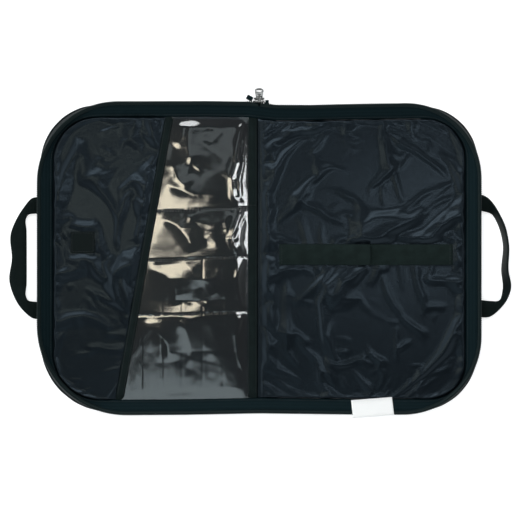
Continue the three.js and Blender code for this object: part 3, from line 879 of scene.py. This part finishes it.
SIM_SCALE = 10.0  # the cloth solver works best on pieces that are metres across
SIM_FRAMES = 22
EXTRA_CLOTH = 0.006  # the share by which a gathered cloth is cut larger than its place
GRAVITY_SHARE = 0.06
CLOTH = {
    "quality": 5, "mass": 0.2, "air_damping": 3,
    "tension_stiffness": 25, "compression_stiffness": 25, "shear_stiffness": 8, "bending_stiffness": 2.0,
    "tension_damping": 12, "compression_damping": 12, "shear_damping": 8, "bending_damping": 0.5,
}


def crumple(piece, pinned, ground):
    """Cloth simulation: a piece cut larger than its place buckles between its seams."""
    work = bpy.data.objects.new("crumpling", piece.data.copy())
    bpy.context.scene.collection.objects.link(work)
    work.data.transform(Matrix.Scale(SIM_SCALE, 4))
    group = work.vertex_groups.new(name="sewn")
    group.add([int(i) for i in pinned], 1.0, "REPLACE")
    bpy.ops.mesh.primitive_plane_add(size=8, location=(0, 0, ground * MM * SIM_SCALE))
    table = bpy.context.object
    table.modifiers.new("collision", "COLLISION")
    table.collision.thickness_outer = 0.001
    cloth = work.modifiers.new("cloth", "CLOTH")
    settings = cloth.settings
    for key, value in CLOTH.items():
        setattr(settings, key, value)
    settings.effector_weights.gravity = GRAVITY_SHARE
    settings.vertex_group_mass = "sewn"
    settings.shrink_min = -EXTRA_CLOTH
    cloth.collision_settings.distance_min = 0.002
    cloth.point_cache.frame_end = SIM_FRAMES
    scene = bpy.context.scene
    for number in range(1, SIM_FRAMES + 1):
        scene.frame_set(number)
    shape = work.evaluated_get(bpy.context.evaluated_depsgraph_get()).data
    place = np.zeros(len(shape.vertices) * 3, np.float32)
    shape.vertices.foreach_get("co", place)
    piece.data.vertices.foreach_set("co", place / SIM_SCALE)
    piece.data.update()
    for helper in (work, table):
        bpy.data.objects.remove(helper)
    scene.frame_set(1)


def pinned_points(sewn_down):
    """The numbers of a grid's outermost points and of those that are sewn down."""
    picked = sewn_down.copy()
    picked[0] = picked[-1] = True
    picked[:, 0] = picked[:, -1] = True
    return np.flatnonzero(picked.ravel())


def bunched(count):
    """Steps from -1 to 1 that lie closer together towards both ends."""
    t = np.linspace(-1, 1, count)
    return 0.45 * t + 0.55 * np.sin(t * math.pi / 2)


def grid_between(left, right, y, columns):
    """X and Y of a grid from left to right in each row, where the rows are at the given Y."""
    u = np.linspace(0, 1, columns)
    x = left[:, None] + (right - left)[:, None] * u[None, :]
    return x, np.repeat(y[:, None], columns, axis=1)


def make_right_lining():
    rows, columns = 176, 126
    rows_y = (SEAM_Y + HEM) * bunched(rows)
    left = SPINE_BINDING[1][0] - 2.5
    x, y = grid_between(np.full(rows, left), reach_at(1, SEAM, HEM, rows_y), rows_y, columns)
    z = right_lining_height(x, y)
    points = stack(x, y, z)
    piece = make_mesh("right_lining_cloth", points, grid_faces(rows, columns), LINING)
    under_straps = (np.abs(y - STRAP_Y) < 9) & (x > STRAP_START) & (x < STRAP_END)
    sewn_down = (np.abs(x - SPINE_BINDING[1][0]) < 2) | (depth_inside(1, SEAM, x, y) < 0.8)
    crumple(piece, pinned_points(under_straps | sewn_down), LINING_TOP - 0.6)
    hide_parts("right_lining", "spine_lining")
    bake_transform(piece)


def make_left_lining():
    """The lining under the clear pockets, and under the slant pocket's mouth."""
    rows, columns = 120, 70
    rows_y = (SEAM_Y + HEM) * np.linspace(-1, 1, rows)
    right = SPINE_BINDING[0][0] + 2
    left = slant_left(rows_y) - 12
    x, y = grid_between(left, np.full(rows, right), rows_y, columns)
    inside = SEAM_Y - np.abs(y)
    from_spine = right - x
    height = 0.25 * wander(x, y, 24, 30, 101) + 0.15 * wander(x, y, 9, 40, 102)
    z = 5.2 + smooth((inside + HEM) / 3) * smooth(from_spine / 5) * (1.0 + height)
    points = stack(x, y, z)
    piece = make_mesh("left_lining_cloth", points, grid_faces(rows, columns), LINING)
    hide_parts("left_lining")
    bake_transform(piece)


def make_slant_pocket():
    rows, columns = 176, 74
    rows_y = (SEAM_Y + HEM) * bunched(rows)
    left = -reach_at(-1, SEAM, HEM, rows_y)
    right = slant_left(rows_y) + 3
    x, y = grid_between(left, right, rows_y, columns)
    z = left_pocket_height(x, y)
    points = stack(x, y, z)
    piece = make_mesh("slant_pocket_cloth", points, grid_faces(rows, columns), LINING)
    patch_x, patch_y = (PATCH[0][:2] + PATCH[1][:2]) / 2
    sewn_down = (np.maximum(np.abs(x - patch_x), np.abs(y - patch_y)) < 13.5)
    sewn_down |= (depth_inside(-1, SEAM, x, y) < 0.8) | (x > slant_left(y) - 0.5)
    crumple(piece, pinned_points(sewn_down), POCKET_TOP - 0.8)
    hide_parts("slant_pocket")
    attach(piece, "left_half")


def make_clear_pocket(row):
    """One clear pocket, from the slanting binding to the spine's."""
    rows, columns = 92, 116
    (top_left, top_right), (low_left, low_right) = ROW_JOINS[row], ROW_JOINS[row + 1]
    u = np.repeat(np.linspace(0, 1, columns)[None, :], rows, axis=0)
    v = np.repeat(np.linspace(0, 1, rows)[:, None], columns, axis=1)
    y = (low_left + (low_right - low_left) * u) * (1 - v) + (top_left + (top_right - top_left) * u) * v
    left = slant_right(y) - 3
    right = POCKET_RIGHT - 2.2
    x = left + (right - left) * u
    z = FILM_BASE - 0.5 * smooth((u - 0.8) / 0.2) + film_height(row, u, v, x, y)
    at_rim = smooth((SEAM_Y + 3 - np.abs(y)) / 17)
    z = FILM_AT_RIM + (z - FILM_AT_RIM) * at_rim
    points = stack(x, y, z)
    piece = make_mesh(f"clear_pocket_film_{row + 1}", points, grid_faces(rows, columns), FILM)
    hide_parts(f"clear_pocket_{row + 1}")
    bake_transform(piece)


def make_pocket_joins():
    """The double line of stitches where each row of pockets meets the next, coloured pale grey as a
    painted glint.
    """
    lines = []
    for left, right in ROW_JOINS[1:-1]:
        first = float(slant_right(np.array(left)))
        for drop in (0.0, 1.8):
            lines.append([(first, left - drop), (POCKET_RIGHT - 3, right - drop)])
    # The pale grey thread here is a painted glint, not the thread's own colour.
    sewn = stitches("pocket_join_stitches", lines, lambda x, y: 7.6, PAINTED_GLINT_THREAD, 1.9, 1.5, 0.26)
    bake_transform(sewn)


def make_slant_binding():
    """The folded tape over the slant pocket's mouth, with its two rows of stitches."""
    y = np.linspace(-SEAM_Y - 1, SEAM_Y + 1, 150)
    wave = 0.35 * wander(y, y * 0, 14, 14, 111)
    end_drop = -2.2 * (1 - smooth((SEAM_Y + 1 - np.abs(y)) / 9))
    profile = ((0.0, 6.4), (0.3, 7.9), (1.6, 8.6), (5.2, 8.9), (8.9, 8.5), (10.2, 7.8), (10.5, 6.4))
    rows = []
    for step, z in profile:
        x = slant_left(y) + step + wave
        rows.append(np.column_stack([x, y, z + end_drop + 0.3 * wave]))
    piece = loft("slant_binding_tape", rows, BINDING)
    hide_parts("slant_binding")
    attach(piece, "left_half")
    reach = SEAM_Y - 6
    lines = [[(float(slant_left(at)) + step, float(at)) for at in np.linspace(-reach, reach, 60)]
             for step in (2.0, 8.6)]
    sewn = stitches("slant_binding_stitches", lines, lambda x, y: 8.65, THREAD, 2.4, 1.0, 0.26)
    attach(sewn, "left_half")


def make_spine_binding():
    """The tape sewn down the middle, over the pockets' ends and the right lining's edge."""
    low, high = SPINE_BINDING
    y = np.linspace(-SEAM_Y - 1.5, SEAM_Y + 1.5, 150)
    wave = 0.3 * wander(y, y * 0, 18, 18, 121)
    end_drop = -1.6 * (1 - smooth((SEAM_Y + 1.5 - np.abs(y)) / 9))
    first, last = low[0] - 2.6, high[0] - 3.0
    width = last - first
    profile = ((0.0, 5.0), (0.02, 6.9), (0.12, 7.6), (0.5, 7.9), (0.88, 7.6), (0.98, 6.9), (1.0, 4.8))
    rows = [np.column_stack([first + width * t + wave, y, z + end_drop]) for t, z in profile]
    piece = loft("spine_binding_tape", rows, BINDING)
    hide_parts("spine_binding")
    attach(piece, "spine")
    reach = SEAM_Y - 5
    lines = [[(x, -reach), (x, reach)] for x in (first + 1.3, last - 1.6)]
    lines.append([(first + 1, 64), (last - 1, 64)])
    sewn = stitches("spine_binding_stitches", lines, lambda x, y: 7.75, THREAD, 2.4, 1.0, 0.26)
    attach(sewn, "spine")


def make_pocket_patch():
    """The square of loop tape sewn on the slant pocket."""
    low, high = PATCH
    centre, half = (low + high)[:2] / 2, (high - low)[:2] / 2
    count = 16
    u, v = np.meshgrid(np.linspace(-1, 1, count), np.linspace(-1, 1, count))
    x, y = centre[0] + u * half[0], centre[1] + v * half[1]
    ground = left_pocket_height(x, y)
    crown = 0.9 + 0.3 * (1 - np.maximum(np.abs(u), np.abs(v)) ** 4)
    layers = np.concatenate([stack(x, y, ground - 0.6), stack(x, y, ground + crown)])
    piece = make_mesh("loop_patch", layers, slab_faces(count, count), HOOKS)
    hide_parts("pocket_patch")
    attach(piece, "left_half")
    sx, sy = half - 1.5
    corners = [(centre[0] + a * sx, centre[1] + b * sy)
               for a, b in ((-1, -1), (1, -1), (1, 1), (-1, 1), (-1, -1))]
    raised = surface(left_pocket_height)
    sewn = stitches("loop_patch_stitches", [corners], lambda px, py: raised(px, py) + 1.15, THREAD,
                    2.2, 0.9, 0.24)
    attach(sewn, "left_half")


# ---------------------------------------------------------------- straps, handles, label


def band_rows(centres, across, normals, width, edge, thin):
    """Rows of a flat band with soft edges. across and normals point along its width and out of it."""
    half = width / 2
    upper = ((-half, 0), (-half + edge, thin), (-half / 3, thin), (half / 3, thin), (half - edge, thin),
             (half, 0))
    section = upper + tuple((place, -up) for place, up in upper[4:0:-1])
    return [centres + across * place + normals * up for place, up in section]


def make_strap(name, first, last, lifts, nodes):
    """One strap from its sewn end to its tip, with cross stitches where it is sewn down."""
    x = np.linspace(first, last, 60)
    sway = 0.5 * wander(x, x * 0, 60, 60, 131)
    tilt = 0.05 * wander(x, x * 0, 35, 35, 132)
    low_y, high_y = STRAP_UPPER[0][1], STRAP_UPPER[1][1]
    centres = np.column_stack([x, (low_y + high_y) / 2 + sway, np.interp(x, *zip(*lifts))])
    widths = np.column_stack([x * 0, x * 0 + 1, tilt])
    normals = np.column_stack([x * 0, -tilt, x * 0 + 1])
    rows = band_rows(centres, widths, normals, high_y - low_y, 0.5, 0.6)
    piece = loft(name, rows[::-1] if first < last else rows, STRAP)
    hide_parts(*nodes)
    inward = 1 if last > first else -1
    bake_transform(piece)
    at = first + inward * 3
    sewn = stitches(f"{name}_stitches", [[(at, low_y + 1), (at, high_y - 1)]],
                    lambda px, py: float(lifts[0][1]) + 0.75, THREAD, 2.2, 0.9, 0.25)
    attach(sewn, "right_half")


def make_straps():
    resting = STRAP_FACE - 0.6
    rise = STRAP_UPPER[1][2] - 0.6
    make_strap("upper_strap", STRAP_START, STRAP_UPPER[1][0],
               ((STRAP_START, resting), (36, resting + 0.2), (100, resting + 0.7), (117, rise - 0.3),
                (134, rise)),
               ("strap_upper", "strap_upper_sewn_end"))
    make_strap("lower_strap", STRAP_END, STRAP_LOWER[0][0],
               ((STRAP_LOWER[0][0], resting), (150, resting + 0.1), (190, resting + 0.8),
                (218, resting + 0.1), (STRAP_END, resting)),
               ("strap_lower", "strap_lower_sewn_end"))


def curve_through(points, places, fine):
    """A smooth curve that passes each point at its place along it, read at the fine places."""
    slope = np.gradient(points, places, axis=0)
    i = np.clip(np.searchsorted(places, fine) - 1, 0, len(places) - 2)
    step = (places[i + 1] - places[i])[:, None]
    t = (fine - places[i])[:, None] / step
    return ((1 + 2 * t) * (1 - t) ** 2 * points[i] + t * (1 - t) ** 2 * step * slope[i]
            + t * t * (3 - 2 * t) * points[i + 1] - t * t * (1 - t) * step * slope[i + 1])


def make_handle(side, stations):
    """A webbing handle through stations from its upper sewn end to its lower one.

    A station is the webbing's outer edge and its inner edge, each as how far out, Y and height.
    """
    name = half_name(side)
    outer, inner = (np.array(edge, float) * (side, 1, 1) for edge in zip(*stations))
    places = run_length((outer + inner) / 2)
    fine = np.linspace(0, places[-1], 150)
    edge_a, edge_b = (curve_through(edge, places, fine) for edge in (outer, inner))
    centres, across = (edge_a + edge_b) / 2, edge_b - edge_a
    tangent = np.gradient(centres, axis=0)
    normals = np.cross(tangent, across)
    normals /= np.linalg.norm(normals, axis=1, keepdims=True)
    rows = band_rows(centres, across, normals, 1.0, 0.03, 0.75)
    piece = loft(f"{name}_webbing_handle", rows, WEBBING)
    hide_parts(f"{name}_handle", f"{name}_handle_sewn_end_upper", f"{name}_handle_sewn_end_lower")
    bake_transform(piece)


def make_handles():
    """The left one lies flat, folded where it turns. The right one stands half on edge in its grip."""
    make_handle(-1, (
        ((249, 74, 3.8), (249, 54, 3.8)),
        ((267, 74, 3.8), (267, 54, 3.8)),
        ((274, 72, 5.0), (276, 53, 5.0)),
        ((284, 60, 5.5), (280, 48, 5.5)),
        ((298, 34, 3.0), (280, 33, 3.0)),
        ((298, 0, 1.8), (280, 0, 1.8)),
        ((300, -32, 2.4), (280, -30, 2.4)),
        ((286, -60, 5.5), (280, -46, 5.5)),
        ((274, -71, 5.0), (276, -51, 5.0)),
        ((267, -73, 3.8), (267, -52, 3.8)),
        ((249, -72, 3.8), (249, -52, 3.8)),
    ))
    make_handle(1, (
        ((249, 77, 3.8), (249, 57, 3.8)),
        ((267, 77, 3.8), (267, 57, 3.8)),
        ((275, 73, 5.5), (276, 55, 2.6)),
        ((290, 47, 16), (286, 45, 1.3)),
        ((297, 18, 20), (294, 18, 1.2)),
        ((297, -14, 18.5), (292, -14, 1.4)),
        ((302, -38, 8.0), (293, -36, 3.2)),
        ((294, -56, 4.2), (289, -50, 3.8)),
        ((278, -70, 3.8), (278, -51, 3.8)),
        ((267, -71, 3.8), (267, -50, 3.8)),
        ((249, -70, 3.8), (249, -50, 3.8)),
    ))


def make_label():
    """The folded white label: it lies over the tape and curls a little past the coil."""
    turn = 0.077
    hinge = np.array(((LABEL[0][0] + LABEL[1][0]) / 2 - 0.8, LABEL[1][1] - 1.9))
    profile = ((0.0, 8.15), (-5.5, 11.4), (-11, 14.4), (-16.2, 16.9), (-18.2, 17.2), (-20.4, 16.7))
    across = np.linspace(-24.6, 24.6, 26)
    top, under = [], []
    for out, z in profile:
        curl = 0.35 * np.cos(across / 8) * min(1.0, -out / 8)
        x = hinge[0] + across * math.cos(turn) - out * math.sin(turn)
        y = hinge[1] + across * math.sin(turn) + out * math.cos(turn)
        top.append(np.column_stack([x, y, z + 0.25 + curl]))
        under.append(np.column_stack([x, y, z - 0.25 + curl]))
    piece = loft("label_tab", top + under[::-1], SATIN, settled=False)
    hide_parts("label")
    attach(piece, "label")


# ---------------------------------------------------------------- metal parts and the rest


def bevelled_copy(node, name, width, material, body):
    """A copy of a CAD node with its sharp edges rounded, in its place."""
    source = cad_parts[node]
    mesh = source.data.copy()
    piece = bpy.data.objects.new(name, mesh)
    bpy.context.scene.collection.objects.link(piece)
    mesh.materials.clear()
    mesh.materials.append(material)
    bevel = piece.modifiers.new("soft_edges", "BEVEL")
    bevel.width = width * MM
    bevel.segments = 3
    bevel.limit_method = "ANGLE"
    bevel.angle_limit = math.radians(35)
    bpy.context.view_layer.objects.active = piece
    bpy.ops.object.select_all(action="DESELECT")
    piece.select_set(True)
    bpy.ops.object.modifier_apply(modifier="soft_edges")
    bpy.ops.object.shade_smooth_by_angle(angle=math.radians(40))
    where = mesh.attributes.new("cloth", "FLOAT_VECTOR", "POINT")
    place = np.zeros(len(mesh.vertices) * 3, np.float32)
    mesh.vertices.foreach_get("co", place)
    where.data.foreach_set("vector", place)
    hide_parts(node)
    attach(piece, body)


def make_zip_end_parts():
    bevelled_copy("slider_body", "slider_shell", 0.5, ZINC, "slider")
    bevelled_copy("slider_pull", "pull_tab", 0.35, ZINC, "pull")
    for side in ("left", "right"):
        bevelled_copy(f"zip_tape_end_{side}", f"folded_tape_end_{side}", 0.8, TAPE, "spine")


def finish_frame_nodes():
    """Gives the CAD nodes the materials made here, for those nodes that stay in sight."""
    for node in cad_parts.values():
        for number, material in enumerate(node.data.materials):
            if material and material.name.split(".")[0] in FRAME_MATERIALS:
                node.data.materials[number] = FRAME_MATERIALS[material.name.split(".")[0]]


# ---------------------------------------------------------------- floor, lights and camera


def make_floor():
    bpy.ops.mesh.primitive_plane_add(size=5, location=(0, 0, -0.0003))
    floor = bpy.context.object
    floor.name = "floor"
    material = new_material("white_floor", (0.86, 0.86, 0.86), 0.9, 0.1)
    shader = shader_of(material)
    shader.inputs["Emission Color"].default_value = (1, 1, 1, 1)
    shader.inputs["Emission Strength"].default_value = 0.62
    floor.data.materials.append(material)


def area_light(name, place, size, radiance, colour):
    """A rectangular lamp at place that faces the middle of the case. radiance is its brightness."""
    lamp = bpy.data.lights.new(name, "AREA")
    lamp.shape = "RECTANGLE"
    lamp.size, lamp.size_y = size
    lamp.energy = radiance * math.pi * size[0] * size[1]
    lamp.color = colour
    holder = bpy.data.objects.new(name, lamp)
    holder.location = place
    holder.rotation_euler = Vector(place).to_track_quat("Z", "Y").to_euler()
    bpy.context.scene.collection.objects.link(holder)


def make_lights():
    area_light("warm_window", (-0.43, 0.12, 1.5), (0.12, 0.60), 3.8, (1.0, 0.90, 0.68))
    area_light("warm_wall", (-0.43, 0.12, 1.52), (0.20, 0.66), 1.0, (1.0, 0.92, 0.78))
    area_light("cool_window", (0.46, 0.10, 1.5), (0.14, 0.60), 5.6, (0.95, 0.98, 1.0))
    area_light("low_card", (-0.12, -0.48, 1.5), (0.54, 0.38), 0.8, (0.80, 0.95, 1.0))
    area_light("high_card", (-0.06, 0.35, 1.5), (0.50, 0.16), 0.35, (0.85, 0.97, 1.0))
    area_light("soft_box", (-0.15, 0.92, 1.42), (1.5, 0.36), 4.0, (0.97, 0.99, 1.0))
    world = bpy.data.worlds.new("studio")
    bpy.context.scene.world = world
    world.use_nodes = True
    nodes, links = world.node_tree.nodes, world.node_tree.links
    direction = nodes.new("ShaderNodeTexCoord")
    split = nodes.new("ShaderNodeSeparateXYZ")
    ramp = nodes.new("ShaderNodeValToRGB")
    across = nodes.new("ShaderNodeMapRange")
    links.new(direction.outputs["Generated"], split.inputs["Vector"])
    links.new(split.outputs["Z"], ramp.inputs["Fac"])
    links.new(split.outputs["X"], across.inputs["Value"])
    links.new(ramp.outputs["Color"], nodes["Background"].inputs["Color"])
    links.new(across.outputs["Result"], nodes["Background"].inputs["Strength"])
    for socket, value in (("From Min", -0.9), ("From Max", 0.9), ("To Min", 1.5), ("To Max", 0.65)):
        across.inputs[socket].default_value = value
    stops = ramp.color_ramp.elements
    stops[0].position, stops[0].color = 0.0, (0.80, 0.86, 0.92, 1)
    stops[1].position, stops[1].color = 1.0, (0.055, 0.062, 0.066, 1)
    for position, value in ((0.55, 0.95), (0.74, 0.9), (0.86, 0.20), (0.94, 0.07), (0.975, 0.075)):
        stop = stops.new(position)
        stop.color = (value * 0.93, value * 0.98, value, 1)


def make_camera():
    """Straight above the case, far enough away to be nearly free of perspective."""
    distance = 1.6
    frame_width = 0.618
    camera = bpy.data.cameras.new("camera")
    camera.sensor_width = 36
    camera.lens = camera.sensor_width * distance / frame_width
    holder = bpy.data.objects.new("camera", camera)
    holder.location = (-0.00204, 0.0012, 0.008 + distance)
    bpy.context.scene.collection.objects.link(holder)
    bpy.context.scene.camera = holder
    bpy.context.scene.view_settings.view_transform = "Standard"


# ---------------------------------------------------------------- everything

make_camera()
make_floor()
make_lights()
for half in (-1, 1):
    make_cover(half)
    make_side_wall(half)
    make_zip_tape(half)
    make_zip_coil(half)
make_right_lining()
make_left_lining()
make_slant_pocket()
for pocket in range(4):
    make_clear_pocket(pocket)
make_pocket_joins()
make_slant_binding()
make_spine_binding()
make_pocket_patch()
make_straps()
make_handles()
make_label()
make_zip_end_parts()
finish_frame_nodes()
